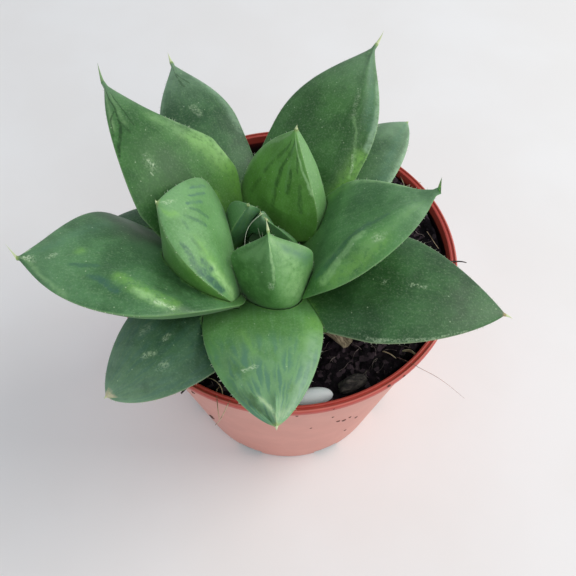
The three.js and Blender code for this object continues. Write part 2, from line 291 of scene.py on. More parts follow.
plastic = {"Roughness": 0.42, "Specular_IOR_Level": 0.45}
pot_finish, pot_place, pot_shader = new_finish("brick_plastic", **plastic)
pot_x, pot_y, pot_z = pot_place.parts()
pot_outward = (pot_x * pot_x + pot_y * pot_y) ** 0.5
wall_line = wall_radius(0) * mm + pot_z * ((wall_top_radius - pot_base_radius) / under_lip)
outside = (pot_outward - wall_line).rise(-0.5 * mm, -0.2 * mm)
lip = pot_z.rise(68.6 * mm, 69.2 * mm)
haze = pot_place.grain(9 * mm, 4, 0.6).rise(0.3, 0.75)
dusty = haze.blend(tone(208, 136, 120), tone(216, 145, 129))
# The inside of the wall is painted dark: painted shade inside the pot, darkest near the soil and reaching
# higher towards the right.
shade_rise = pot_x.rise(5 * mm, 35 * mm) * 2.6 * mm
inner_wall_shade = (pot_z - shade_rise).rise(66.8 * mm, 70.2 * mm).blend(tone(30, 14, 16), tone(112, 32, 32))
wall_colour = outside.blend(inner_wall_shade, dusty)
# The lip is a deeper, darker red than the wall below: painted shade from the leaves above it, with a
# painted reflection of the dark plant.
lip_colour = pot_place.grain(3 * mm, 3).blend(tone(176, 62, 52), tone(196, 80, 68))
# A pale line along the lip's outer edge is a painted highlight.
lip_edge_highlight = abs(pot_outward - (rim_radius - 0.4) * mm).rise(0.35 * mm, 0.1 * mm) * 0.45
lip_colour = lip_edge_highlight.blend(lip_colour, tone(222, 130, 116))
feed(
    pot_shader,
    Base_Color=lip.blend(wall_colour, lip_colour),
    Normal=(pot_place.grain(0.35 * mm, 2) + pot_place.grain(5 * mm, 2) * 0.4).bump(0.02 * mm),
)

mouth = wall_radius(pot_height) - wall
# Places of the lip's roll, inwards from the rim and down from the top.
lip_roll = [
    (0, 0.62), (0.07, 0.3), (0.26, 0.07), (0.42, 0), (0.58, 0.08), (0.68, lip_step),
    (1.05, lip_step + 0.03), (1.2, 0.1), (1.35, 0.03),
]
pot_profile = [
    (0, 0), (28.6, 0), (29, 0.35), (pot_base_radius - 1, 0.35), (pot_base_radius - 0.55, 0.12),
    (wall_radius(0.8) - 0.1, 0.5), *[(wall_radius(height), height) for height in (1.4, 20, 45, 68.4)],
    (wall_radius(68.8) + 0.15, 68.85), (rim_radius - 0.35, under_lip),
    (rim_radius - 0.08, under_lip + 0.1), (rim_radius, under_lip + 0.35),
    *[(rim_radius - inwards, pot_height - down) for inwards, down in lip_roll],
    (mouth + 0.28, pot_height - 0.06), (mouth + 0.08, pot_height - 0.16), (mouth, pot_height - 0.4),
    *[(wall_radius(height) - wall, height) for height in (68, 45, 20, 2)],
    (wall_radius(1.4) - wall - 0.3, 1.4), (wall_radius(pot_floor) - wall - 0.9, pot_floor),
    (0, pot_floor),
]
pot = new_piece("nursery_pot", turned(pot_profile, 160), pot_finish)
slots = []
for i in range(slot_count):
    block = bmesh.new()
    turn = Matrix.Rotation((i + 0.5) * 2 * pi / slot_count, 4, "Z")
    place = Matrix.Translation((pot_base_radius * mm, 0, 0))
    size = Matrix.Diagonal((2 * slot_depth * mm, slot_width * mm, 2 * slot_height * mm, 1))
    bmesh.ops.create_cube(block, size=1, matrix=turn @ place @ size)
    rounded = {"affect": "EDGES", "segments": 3, "profile": 0.5, "material": -1}
    bmesh.ops.bevel(block, geom=block.edges[:], offset=slot_rounding * mm, **rounded)
    slots.append(new_piece("slot", block, pot_finish))
hollow(pot, slots)
crisp(pot, 32)
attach(pot, "root")
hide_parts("pot")

# ---
# The soil is a loose, dark, peaty potting mix that fills the pot to a few
# millimetres under the lip. Its top is crumbly, with crumbs, grit and fine
# fibres of many sizes lying on it.

soil_level = 66
clearance = 0.3
soil_waves = [(0.7, 47, 57, 0), (0.45, 16, 18, 0.8)]
crumb_sizes = [(4.5, 0.8), (1.9, 0.8), (0.9, 0.5)]
heap_heading = 22
heap_spread = 48
heap_rise = 3.6
heap_from = 24
heap_run = 16


def soil_height(x, y):
    """The height of the soil's top at a place, in mm."""
    height = soil_level
    for rise, length, cross, slant in soil_waves:
        first = sin(2 * pi * (x + slant * y) / length)
        height += rise * first * cos(2 * pi * (y - slant * x) / cross)
    for size, rise in crumb_sizes:
        height += rise * noise.noise(Vector((x, y, 3 * size)) / size)
    aside = (degrees(atan2(y, x)) - heap_heading) / heap_spread
    heap = heap_rise * exp(-aside * aside)
    return height + heap * min(max((hypot(x, y) - heap_from) / heap_run, 0), 1) ** 2


damp = {"Roughness": 0.72, "Specular_IOR_Level": 0.15}
soil_finish, soil_place, soil_shader = new_finish("potting_soil", **damp)
dark_peat = soil_place.grain(2.2 * mm, 5, 0.65).rise(0.42, 0.68)
brown_bits = soil_place.cells(1.1 * mm, out="Color").parts()[0].rise(0.76, 0.84)
soil_colour = dark_peat.blend(tone(9, 5, 10), tone(38, 26, 35))
soil_colour = (brown_bits * 0.6).blend(soil_colour, tone(90, 74, 82))
feed(soil_shader, Base_Color=soil_colour, Normal=soil_place.grain(0.5 * mm, 4, 0.7).bump(0.35 * mm))

soil_rings = 84
soil_radius = wall_radius(soil_level) - wall - clearance
soil_bottom = pot_floor + clearance
soil_profile = [
    (0, soil_bottom),
    (wall_radius(soil_bottom) - wall - clearance, soil_bottom),
    (soil_radius - 0.05, soil_level - 0.8),
]
soil_profile += [((soil_radius - 0.4) * i / soil_rings, soil_level) for i in range(soil_rings, -1, -1)]
soil_mesh = turned(soil_profile, 240)
for point in soil_mesh.verts:
    if point.co.z > (soil_level - 0.1) * mm:
        point.co.z = soil_height(point.co.x / mm, point.co.y / mm) * mm
soil = new_piece("soil_bed", soil_mesh, soil_finish)
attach(soil, "root")
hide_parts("soil")

# ---
# Each leaf is solid green flesh under a waxy skin: gently crowned above, keeled
# like a boat below, with a thin dry awn at its tip. Where a younger leaf or the
# stem presses in, it is hollowed.

plant_axis = Vector((-7, -5, 0))
margin_half = 0.35
tip_keel = 0.1
leaf_stations = 84
awn_stations = 7
leaf_sides = 72
neck_run = 0.2
deepest = 0.45
foot_depth = 0.3
foot_keel_power = 2.6
tip_fall = 2.2
keel_change = (0.15, 0.75)
foot_dip = 0.6
dip_run = 0.15
dip_slope = 4
curl_from = 0.86
skin_waves = [(7, 0.22), (2.6, 0.05)]
wave_end = (0.98, 0.8)
tip_crowding = 1.25

# What a leaf is unless its own plan says otherwise: sizes are in mm, angles in
# degrees. A fold is two places along and across, its width and its height.
leaf_shape = dict(
    foot_radius=6, arch=0, sway=0, bow=0, roll=0, twist=0, neck=0.45, base_width=0.9, widest=0.45,
    shoulder=2, taper=1.2, keel_shift=0, crown=1.6, tip_keel_power=1.6, tip_half=0.35, tip_curl=0,
    awn=3, awn_lift=25, awn_taper=1.2, awn_bend=2, folds=[],
)


def ease(value, low, high):
    share = min(max((value - low) / (high - low), 0), 1)
    return share * share * (3 - 2 * share)


def leaf_spine(plan, u):
    """Centre, forward, side and up of a leaf at the share u of its spine."""
    heading = radians(plan.heading)
    out = Vector((cos(heading), sin(heading), 0))
    right = Vector((sin(heading), -cos(heading), 0))
    start = plant_axis + out * plan.foot_radius + Vector((0, 0, plan.foot))
    end = plant_axis + out * plan.reach + Vector((0, 0, plan.tip_height))
    middle = (start + end) / 2 + 2 * plan.bow * out + 2 * plan.sway * right
    middle.z += 2 * plan.arch
    centre = (1 - u) ** 2 * start + 2 * u * (1 - u) * middle + u * u * end
    forward = (2 * (1 - u) * (middle - start) + 2 * u * (end - middle)).normalized()
    level = (right - forward * right.dot(forward)).normalized()
    above = level.cross(forward)
    lean = radians(plan.roll + plan.twist * u)
    side = level * cos(lean) - above * sin(lean)
    up = above * cos(lean) + level * sin(lean)
    return centre, forward, side, up


def leaf_section(plan, u):
    """Half width, half thickness of the margin, keel depth, crown and keel power at u."""
    widest = plan.widest
    neck = plan.neck + (1 - plan.neck) * ease(u, 0, neck_run)
    if u < widest:
        share = plan.base_width + (1 - plan.base_width) * sin(pi / 2 * u / widest)
    else:
        share = (1 - ((u - widest) / (1 - widest)) ** plan.shoulder) ** plan.taper
    share *= neck
    if u < deepest:
        fullness = foot_depth + (1 - foot_depth) * sin(pi / 2 * u / deepest)
    else:
        fullness = 1 - ((u - deepest) / (1 - deepest)) ** tip_fall
    half = max(plan.width / 2 * share, plan.tip_half)
    edge = margin_half * (1 + sin(pi * u))
    keel = max(plan.depth * fullness, tip_keel)
    crown = plan.crown * share * min(max(dip_slope * (u - dip_run), -foot_dip), 1)
    power = foot_keel_power + (plan.tip_keel_power - foot_keel_power) * ease(u, *keel_change)
    return half, edge, keel, crown, power


def fold_lift(plan, u, across):
    """How far the folds of the upper face stand out here, in mm."""
    lift = 0
    here = Vector((across * plan.width / 2, u * plan.length))
    for from_u, from_across, to_u, to_across, width, height in plan.folds:
        start = Vector((from_across * plan.width / 2, from_u * plan.length))
        end = Vector((to_across * plan.width / 2, to_u * plan.length))
        run = end - start
        share = min(max((here - start).dot(run) / run.length_squared, 0), 1)
        miss = (here - start - run * share).length / width
        lift += height * exp(-miss * miss)
    return lift


def leaf_point(plan, u, turn, extra):
    """A point of a leaf's skin, turn being the angle round the section."""
    centre, _, side, up = leaf_spine(plan, u)
    half, edge, keel, crown, power = leaf_section(plan, u)
    across = sin(turn)
    above = cos(turn)
    fullness = 1 - abs(across) ** power
    sideways = (half + extra) * across
    upwards = (edge + extra) * above
    if above >= 0:
        upwards += crown * above * above
        upwards += fold_lift(plan, u, across) * min(above * 3, 1) * ease(u, 0, 0.1)
    else:
        sideways += plan.keel_shift * half * fullness
        upwards -= keel * fullness
    point = centre + side * sideways + up * upwards
    point += up * plan.tip_curl * ease(u, curl_from, 1) ** 2
    wave = sum(noise.noise(point / length) * rise for length, rise in skin_waves)
    return point + up * wave * above * ease(u, *wave_end)


def awn_point(plan, share, turn, extra):
    """A point of the dry thread that carries on from the leaf's tip."""
    centre, forward, side, up = leaf_spine(plan, 1)
    lift = radians(plan.awn_lift)
    length = plan.awn + extra
    centre = centre + forward * length * cos(lift) * share + up * plan.tip_curl
    centre += up * length * sin(lift) * share ** plan.awn_bend
    left = (1 - share) ** plan.awn_taper
    sideways = (plan.tip_half + extra) * left * sin(turn)
    return centre + side * sideways + up * (margin_half + extra) * left * cos(turn)


def leaf_mesh(plan, extra):
    """A leaf as a sheet of stations by sides, bent round into its form."""
    mesh = bmesh.new()
    steps = leaf_stations + awn_stations
    bmesh.ops.create_grid(mesh, x_segments=steps, y_segments=leaf_sides, size=0.5)
    where = mesh.verts.layers.float_vector.new("leaf_place")
    for point in mesh.verts:
        step = (point.co.x + 0.5) * steps
        turn = (point.co.y + 0.5) * 2 * pi
        under = 1 if cos(turn) < 0 else 0
        if step <= leaf_stations + 0.01:
            u = 1 - max(1 - step / leaf_stations, 0) ** tip_crowding
            point[where] = (sin(turn), u, under)
            point.co = leaf_point(plan, u, turn, extra) * mm
            if step < 0.01:
                point.co -= leaf_spine(plan, 0)[1] * extra * mm
        else:
            share = (step - leaf_stations) / awn_stations
            point[where] = (sin(turn), 1 + share, under)
            point.co = awn_point(plan, share, turn, extra) * mm
    bmesh.ops.remove_doubles(mesh, verts=mesh.verts, dist=0.0005 * mm)
    open_edges = [edge for edge in mesh.edges if edge.is_boundary]
    bmesh.ops.holes_fill(mesh, edges=open_edges)
    bmesh.ops.recalc_face_normals(mesh, faces=mesh.faces)
    return mesh


def main_body(piece):
    """Drops the slivers that hollowing cuts off a piece."""
    mesh = bmesh.new()
    mesh.from_mesh(piece.data)
    unseen = set(mesh.verts)
    bodies = []
    while unseen:
        body = []
        front = [unseen.pop()]
        while front:
            point = front.pop()
            body.append(point)
            near = {edge.other_vert(point) for edge in point.link_edges} & unseen
            unseen -= near
            front += near
        bodies.append(body)
    bodies.sort(key=len)
    for body in bodies[:-1]:
        bmesh.ops.delete(mesh, geom=body, context="VERTS")
    mesh.to_mesh(piece.data)
    mesh.free()


def far_apart(first, second):
    """Whether the boxes of two pieces miss each other."""
    lows, highs = zip(*[(piece.bound_box[0], piece.bound_box[6]) for piece in (first, second)])
    return any(lows[0][k] > highs[1][k] or lows[1][k] > highs[0][k] for k in range(3))


stem_foot = 56
stem_shoulder = 74
stem_tip = 83
stem_room_profile = [
    (0, stem_foot - 2 - clearance), (2.5 + clearance, stem_foot - 2 - clearance),
    (5 + clearance, stem_foot), (6 + clearance, stem_shoulder),
    (2 + clearance, stem_tip + clearance), (0, stem_tip + clearance),
]


def stem_room():
    """The stem's own form, grown by the clearance."""
    mesh = turned(stem_room_profile, 32)
    bmesh.ops.translate(mesh, verts=mesh.verts, vec=plant_axis * mm)
    return new_piece("stem_room", mesh, soil_finish)


# A leaf's skin is deep green with paler flesh showing through. Clear windows
# and a net of veins lie near its tip, its margins are thin and dry, and light
# scuffs and specks lie where leaves rubbed together. Some marks are painted
# light instead: painted shade at the feet of leaves and on sides turned from
# the lamp, and painted highlights along ridges and tips.

leaf_tones = dict(
    deep=(44, 86, 38), flesh=(68, 118, 56), under=(80, 130, 62), lime=(132, 190, 84),
    window=(84, 128, 102), vein=(112, 160, 98), blue=(56, 100, 80), dark=(32, 66, 28),
    milk=(172, 216, 150), pale=(200, 222, 184), fade=(150, 184, 150), margin=(142, 178, 124),
    tip=(146, 170, 106), awn=(202, 214, 166),
)
# A mark is its tone, strength, width in mm and one line or more.
leaf_look = dict(
    windows=0, windows_from=0.5, tip_fade=0.4, veins=0.14, gloss=0.42, specks=0.4, dry_edge=0.3,
    tones={}, top_marks=[], under_marks=[],
)
fine_stroke = 1.5
speck_gap = 1.7 * mm


def stroke(face, plan, width, line):
    """1 on a line of the face and 0 from about this distance in mm.

    The line names its places along and across in turn, in hundredths of the
    leaf's length and half width.
    """
    scale = Vector((plan.width / 2, plan.length, 0)) * mm
    places = zip(line[::2], line[1::2])
    points = [Vector((across / 100, along / 100, 0)) * scale for along, across in places]
    near = None
    for start, end in zip(points, points[1:]):
        run = end - start
        reach = face.vector("SUBTRACT", start)
        share = reach.vector("DOT_PRODUCT", run / run.length_squared, "Value").most(0).least(1)
        foot = share.node("ShaderNodeCombineXYZ", {}, {"X": share * run.x, "Y": share * run.y})
        miss = reach.vector("SUBTRACT", foot).vector("LENGTH", (0, 0, 0), "Value")
        near = miss if near is None else near.least(miss)
    core = 0.3 * width if width < fine_stroke else 0
    return near.rise(1.3 * width * mm, core * mm) ** 1.5


def leaf_skin(name, plan):
    """The skin of one leaf, from its tones and marks."""
    tones = {kind: tone(*screen) for kind, screen in (leaf_tones | plan.tones).items()}
    flesh = {"Subsurface_Weight": 0.12, "Subsurface_Radius": (0.5, 1, 0.2), "Subsurface_Scale": 1.6 * mm}
    wax = {"Sheen_Weight": 0.12, "Sheen_Roughness": 0.35, "Sheen_Tint": (0.86, 1, 0.93, 1)}
    skin, place, shader = new_finish(name + "_skin", Specular_IOR_Level=plan.gloss, **flesh, **wax)
    where = place.node("ShaderNodeAttribute", {"attribute_name": "leaf_place"}, {}, "Vector")
    across, along, under = where.parts()
    under = under.rise(0.3, 0.7)
    face = where.vector("MULTIPLY", (plan.width / 2 * mm, plan.length * mm, 0))
    drift = place.grain(3 * mm, 4, 0.65, "Color").vector("SUBTRACT", (0.5, 0.5, 0.5))
    ragged = face.vector("ADD", drift.vector("MULTIPLY", (2 * mm, 2 * mm, 0)))
    fine = place.grain(0.45 * mm, 4, 0.7)
    threads = face.vector("MULTIPLY", (1.6, 0.12, 1)).grain(1.3 * mm, 3, 0.55)

    mottle = place.grain(8 * mm, 5, 0.6).rise(0.34, 0.68)
    coats = [
        (under * 0.85, "under"),
        (along.rise(0.35, 0.05) * 0.4, "lime"),
        (threads.rise(0.45, 0.8) * plan.veins, "vein"),
        (fine.rise(0.48, 0.75) * 0.16, "pale"),
        (fine.rise(0.5, 0.25) * 0.25, "dark"),
        (along.rise(0.6, 1.0) * plan.tip_fade * mottle.rise(-1, 1), "fade"),
    ]
    if plan.windows:
        net = ragged.vector("MULTIPLY", (1, 0.22, 0)).cells(1.7 * mm, "DISTANCE_TO_EDGE")
        vein = net.rise(0.26, 0.0)
        clear = along.rise(plan.windows_from, plan.windows_from + 0.2) * plan.windows
        clear = clear * ragged.grain(5 * mm, 3).rise(0.25, 0.5) * (1 - under)
        coats += [(clear * (1 - vein), "window"), (clear * vein * 0.5, "vein")]
    patches = place.grain(1.6 * mm, 4, 0.7).rise(0.2, 0.62)
    for side, marks in ((1 - under, plan.top_marks), (under, plan.under_marks)):
        for kind, strength, width, *lines in marks:
            for line in lines:
                mask = stroke(ragged, plan, width, line) * side * patches * strength
                if kind == "pale":
                    mask = mask * fine.rise(0.38, 0.6)
                coats.append((mask, kind))
    dots = place.cells(speck_gap).rise(0.12, 0.05)
    chosen = place.cells(speck_gap, out="Color").parts()[0].rise(0.6, 0.64)
    coats += [
        (dots * chosen * plan.specks, "pale"),
        (abs(across).rise(0.975, 1.0) * plan.dry_edge, "margin"),
        (along.rise(0.98, 1.0), "tip"),
        (along.rise(1.0, 1.12), "awn"),
    ]
    colour = mottle.blend(tones["deep"], tones["flesh"])
    for mask, kind in coats:
        colour = mask.blend(colour, tones[kind])
    relief = fine * 0.3 + threads * 0.35 + mottle * 0.6
    gloss = 0.36 + fine * 0.18 + mottle * 0.06
    feed(shader, Base_Color=colour, Roughness=gloss, Normal=relief.bump(0.05 * mm))
    return skin


younger = []


def grow_leaf(name, slot, **sizes):
    """Makes the next older leaf and hollows it where the younger ones press in."""
    plan = SimpleNamespace(**(leaf_shape | leaf_look | sizes))
    points = [leaf_spine(plan, step / 20)[0] for step in range(21)]
    plan.length = sum((b - a).length for a, b in zip(points, points[1:]))
    skin = leaf_skin(name, plan)
    blade = new_piece(name + "_blade", leaf_mesh(plan, 0), skin)
    presses = [stem_room()]
    for other in younger:
        room_for = new_piece("press", leaf_mesh(other, clearance), skin)
        if far_apart(blade, room_for):
            bpy.data.objects.remove(room_for)
        else:
            presses.append(room_for)
    hollow(blade, presses)
    main_body(blade)
    crisp(blade, 40)
    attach(blade, "root")
    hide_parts(name)
    younger.append(plan)


# The heart: a bud and two small leaves, dark and half hidden.
heart = dict(
    tones=dict(deep=(66, 116, 70), flesh=(88, 144, 88), under=(98, 148, 88)),
    base_width=0.95, awn=2, awn_lift=0, awn_taper=2.2,
)
grow_leaf(
    "leaf_bud", "leaf_young", **heart, heading=70, foot=78.5, foot_radius=2, reach=2.5, tip_height=89.5,
    bow=0.3, width=7, depth=3, neck=0.8, shoulder=1.6, taper=1.5, roll=15, twist=-4, crown=0.4,
    tip_fade=1, dry_edge=0.8, specks=0,
)
grow_leaf(
    "leaf_heart_right", "leaf_young", **heart, heading=-10, foot=80, reach=2.3, tip_height=91,
    arch=-2.2, bow=0.8, sway=-1, width=5, depth=4.5, neck=0.75, shoulder=1.4, taper=1.6, roll=-15,
    twist=-14, keel_shift=0.15, crown=0.3, dry_edge=0.6, specks=0,
)
grow_leaf(
    "leaf_heart_left", "leaf_young", **heart, heading=137, foot=77.5, foot_radius=4, reach=2.3,
    tip_height=93.7, bow=1.1, sway=0.35, width=10.5, depth=4.5, neck=0.8, widest=0.4, shoulder=1.7,
    taper=1.6, roll=-3, twist=5, crown=0.6, windows=0.4, windows_from=0.4, dry_edge=0.5,
)

# Three young upright leaves round the heart, bright and clean.
grow_leaf(
    "leaf_inner_left", "leaf_young", heading=193, foot=70.5, reach=20, tip_height=102, arch=4, bow=-3.4,
    sway=-2.5, width=29, depth=11.5, neck=0.5, base_width=0.7, shoulder=2.4, taper=0.85, roll=1,
    twist=-12, keel_shift=-0.25, awn=1.2, awn_lift=60,
    tones=dict(deep=(94, 146, 82), flesh=(112, 164, 102), under=(84, 146, 50)), tip_fade=0.1,
    top_marks=[
        ("window", 0.9, 0.7, (80, 69, 66, 78), (81, 45, 68, 60), (82, 22, 72, 36)),
        ("blue", 0.6, 0.8, (79, 11, 67, 9), (81, -13, 69, -11)), ("blue", 0.5, 0.8, (83, -30, 80, -38)),
        ("blue", 0.8, 1, (75, -53, 70, -58)), ("lime", 0.45, 2.4, (72, -50, 58, -74, 42, -88)),
        ("milk", 0.7, 2, (60, -74, 50, -83, 40, -88)), ("blue", 0.8, 1.2, (79, -79, 69, -92)),
        ("blue", 0.9, 1.2, (66, -76, 62, -77)), ("blue", 0.95, 1.3, (65, -90, 59, -92, 51, -94)),
        ("lime", 0.5, 1.6, (95, -50, 88, -20)), ("pale", 0.5, 1.4, (96, 0, 92, 25)),
    ],
    under_marks=[
        ("milk", 0.4, 1.6, (97, -97, 75, -97)), ("lime", 0.4, 1.6, (75, -97, 35, -97)),
    ],
)
grow_leaf(
    "leaf_inner_front", "leaf_young", heading=289, foot=74.5, foot_radius=10.5, reach=9, tip_height=98,
    arch=-0.5, bow=2, width=17.5, depth=6.5, neck=1, base_width=0.76, widest=0.73, shoulder=2.6,
    taper=2.6, roll=-5, twist=-19, keel_shift=-0.1, tip_keel_power=1.1, awn_lift=0, tip_fade=0.2,
    tones=dict(under=(92, 150, 76), deep=(52, 100, 40)),
    under_marks=[
        # The deep strokes on the left facet are painted shade and the broad milk stroke on the right facet
        # is painted light, from the lamp on the right; the thin milk line down the keel and the pale spot
        # below it are painted highlights.
        ("deep", 0.85, 5, (85, 75, 45, 70)), ("deep", 0.65, 2.2, (85, 30, 50, 30)),
        ("milk", 0.5, 5, (90, -50, 50, -45)), ("vein", 0.6, 1.4, (93, 30, 84, 42)),
        ("vein", 0.5, 1.2, (88, 62, 80, 70)), ("window", 0.7, 2.2, (86, -62, 74, -82)),
        ("milk", 0.8, 0.5, (99, 0, 84, 2, 66, 6)), ("pale", 0.6, 0.8, (64, 12, 62, 12)),
    ],
)
grow_leaf(
    "leaf_inner_back", "leaf_young", heading=59, foot=77, foot_radius=5, reach=17, tip_height=103.5,
    arch=-3.5, bow=1, sway=-1, width=25, depth=7, taper=1.1, roll=-8, twist=-19, keel_shift=0.4,
    awn=1.2, awn_lift=0, tones=dict(deep=(88, 142, 56), flesh=(108, 168, 74), under=(112, 160, 98)),
    tip_fade=0.1,
    top_marks=[
        ("dark", 0.6, 0.8, (93, 49, 84, 16, 76, 3)), ("dark", 0.7, 1, (72, 2, 60, -2)),
        ("dark", 0.5, 0.9, (55, 0, 41, 3)), ("dark", 0.5, 0.8, (92, 6, 78, -28)),
        ("dark", 0.6, 0.8, (72, -36, 62, -44)), ("dark", 0.4, 0.8, (54, -47, 40, -62)),
        ("dark", 0.5, 0.8, (92, 75, 80, 60)), ("dark", 0.6, 0.9, (75, 36, 60, 32)),
        ("dark", 0.5, 0.9, (70, 66, 50, 66)), ("vein", 0.5, 0.6, (93, 60, 87, 30, 60, 24)),
        ("vein", 0.3, 0.7, (88, -10, 70, -10, 50, -5)), ("vein", 0.3, 0.9, (85, -40, 60, -50)),
        ("margin", 0.6, 1.2, (97, -50, 80, -93, 50, -98)), ("milk", 0.8, 0.8, (99, 60, 70, 98)),
    ],
)

# Five full-grown leaves spread round these, in two turns of the spiral.
grow_leaf(
    "leaf_upper_right", "leaf", heading=-1.5, foot=76, foot_radius=8.3, reach=38, tip_height=100,
    arch=5.5, bow=-1.1, sway=3.2, width=28, depth=10.7, neck=0.32, base_width=0.97, widest=0.35,
    shoulder=1.65, taper=1.05, roll=-9.3, twist=18, keel_shift=-0.27, awn=5.4, awn_lift=98,
    awn_taper=0.9, awn_bend=1.15, tip_half=0.8, tip_curl=1.8, veins=0.3,
    folds=[(0.3, 0.72, 0.53, 0.46, 2.6, 0.9), (0.53, 0.46, 0.8, 0.2, 2.4, 0.7)],
    tones=dict(deep=(58, 110, 56), flesh=(84, 140, 76), under=(116, 168, 84), tip=(100, 148, 98),
               awn=(112, 152, 106)),
    top_marks=[
        ("lime", 0.4, 3.4, (25, -90, 42, -92)), ("milk", 0.5, 1.8, (45, -97, 85, -95)),
        ("lime", 0.5, 4, (36, 88, 50, 82, 62, 70)), ("vein", 0.6, 2.2, (56, 70, 74, 50, 88, 30)),
        ("vein", 0.5, 0.9, (34, 60, 44, 38)), ("blue", 0.55, 1.1, (30, 75, 45, 45, 59, 22)),
        ("milk", 0.4, 1, (32, 86, 44, 62, 56, 42)), ("blue", 0.4, 0.8, (57, 32, 70, 20)),
        ("pale", 0.5, 1.2, (64, 62, 62, 60)),
    ],
)
grow_leaf(
    "leaf_upper_left", "leaf", heading=140, foot=75, reach=46, tip_height=103, arch=10, sway=-4,
    width=29, depth=8, widest=0.35, shoulder=1.1, taper=1.4, roll=10, twist=8, awn=5, awn_lift=45,
    awn_taper=0.9, tip_half=0.5, gloss=0.3, tip_fade=0.3,
    tones=dict(deep=(50, 94, 46), flesh=(72, 122, 62), tip=(84, 128, 74), awn=(120, 150, 104)),
    top_marks=[
        # The lime stroke near the foot on the right is painted light where the leaf faces the lamp, and
        # the wide deep stroke on the left side is painted shade.
        ("lime", 0.5, 6, (15, 90, 40, 78)), ("milk", 0.3, 5, (30, 85, 60, 60)),
        ("milk", 0.35, 1.6, (25, 97, 60, 95)), ("deep", 0.7, 8, (20, -30, 60, -60)),
        ("margin", 0.5, 1.8, (92, -80, 66, -85)), ("margin", 0.3, 1.8, (84, -40, 66, -45)),
        ("dark", 0.95, 0.8, (95, -78, 75, -54, 65, -62, 59, -82, 55, -96)),
        ("dark", 0.8, 0.6, (86, -29, 70, -21, 63, -21), (75, -54, 69, -88, 63, -91)),
        ("dark", 0.6, 0.5, (67, -58, 60, -45)), ("pale", 0.8, 0.4, (47, -43, 45, -38)),
        ("pale", 0.7, 0.3, (43, -50, 42, -49)), ("pale", 0.25, 2.4, (47, -42, 45, -40)),
    ],
)
grow_leaf(
    "leaf_back", "leaf", heading=59, foot=75, reach=56.5, tip_height=99, arch=3.5, sway=-0.5,
    width=25.5, depth=8, shoulder=2.2, taper=1.5, awn=4, awn_lift=20, tip_half=0.5,
    folds=[(0.35, 0.6, 0.9, 0.45, 2.2, 0.5)], gloss=0.35,
    tones=dict(deep=(44, 86, 38), flesh=(66, 114, 56)),
    top_marks=[
        ("window", 0.5, 3.2, (95, 60, 60, 85)), ("lime", 0.6, 3.4, (20, 85, 45, 93)),
        ("milk", 0.2, 0.5, (60, 50, 48, 76, 36, 90)), ("fade", 0.6, 1.4, (50, 98, 80, 96)),
        ("pale", 0.2, 1, (72, 40, 60, 48)), ("pale", 0.5, 0.35, (45, 76, 38, 88)),
    ],
)
grow_leaf(
    "leaf_front", "leaf", heading=276, foot=74, foot_radius=5.6, reach=46, tip_height=86.5, arch=2.4,
    bow=-0.8, sway=0.7, width=26, depth=8, widest=0.4, shoulder=1.85, taper=0.72, twist=-4, awn=0.8,
    awn_lift=-20, windows=0.85, windows_from=0.46, veins=0.25,
    folds=[(0.8, 0.78, 0.88, 0.54, 1.4, 0.5), (0.88, 0.54, 0.94, 0.16, 1.3, 0.7),
           (0.9, -0.1, 1, 0, 1.5, 0.9), (0.91, 0.62, 0.96, 0.4, 1.1, -0.5)],
    tones=dict(deep=(80, 130, 64), flesh=(98, 152, 84), window=(88, 134, 108), vein=(124, 168, 124),
               milk=(176, 202, 156)),
    top_marks=[
        ("lime", 0.4, 4, (44, -90, 58, -78)), ("lime", 0.25, 1.6, (51, 37, 63, 21)),
        ("fade", 0.5, 3, (55, -85, 95, -80)), ("flesh", 0.7, 2.4, (55, 95, 80, 90)),
        ("dark", 0.35, 1.8, (82, 95, 90, 75, 95, 45)), ("dark", 0.3, 4, (68, 70, 88, 60)),
        # The strong milk stroke along the fold near the tip is a painted highlight on the pinched ridge.
        ("milk", 0.8, 1.6, (88, 40, 94, 12, 99, 0)), ("milk", 0.5, 2, (95, -70, 97, 0)),
        ("pale", 0.7, 0.5, (73, 51, 71, 21)),
    ],
)
grow_leaf(
    "leaf_left", "leaf", heading=199, foot=72, foot_radius=6.7, reach=48.8, tip_height=98, arch=7.1,
    sway=-3, width=36, depth=9.5, base_width=0.75, widest=0.48, shoulder=1.9, taper=1.1, roll=29.5,
    twist=-28, awn=5, awn_lift=88, awn_bend=1.3, tip_half=0.5, tip_curl=0.8, tip_fade=0.15,
    folds=[(0.44, -0.92, 0.62, -0.42, 2.2, 0.8)], tones=dict(deep=(52, 98, 54), flesh=(82, 132, 82)),
    top_marks=[
        # The dark stroke near the foot is painted shade. Along the fold the milk and pale strokes are
        # painted highlights and the lime stroke is painted light on its flank; the broad pale stroke
        # across the tip is a painted highlight too.
        ("dark", 0.75, 8, (15, -30, 40, -60)), ("lime", 0.5, 2.2, (46, -90, 54, -70, 60, -50)),
        ("milk", 0.5, 0.9, (48, -92, 56, -69)), ("pale", 0.7, 0.5, (46, -94, 51, -84)),
        ("window", 0.35, 5, (90, 30, 60, 60)), ("milk", 0.3, 2, (96, -35, 90, -75, 80, -92)),
        ("pale", 1, 2.2, (97, 10, 95, -30)), ("blue", 0.9, 1.3, (69, -48, 62, -66)),
        ("blue", 0.7, 1, (77, -28, 68, -28)), ("lime", 0.4, 1.8, (73.5, 2, 72.5, 4)),
        ("pale", 0.4, 1.4, (86, -10, 84, 0)), ("pale", 1, 0.9, (97, 84, 96, 70)),
    ],
)

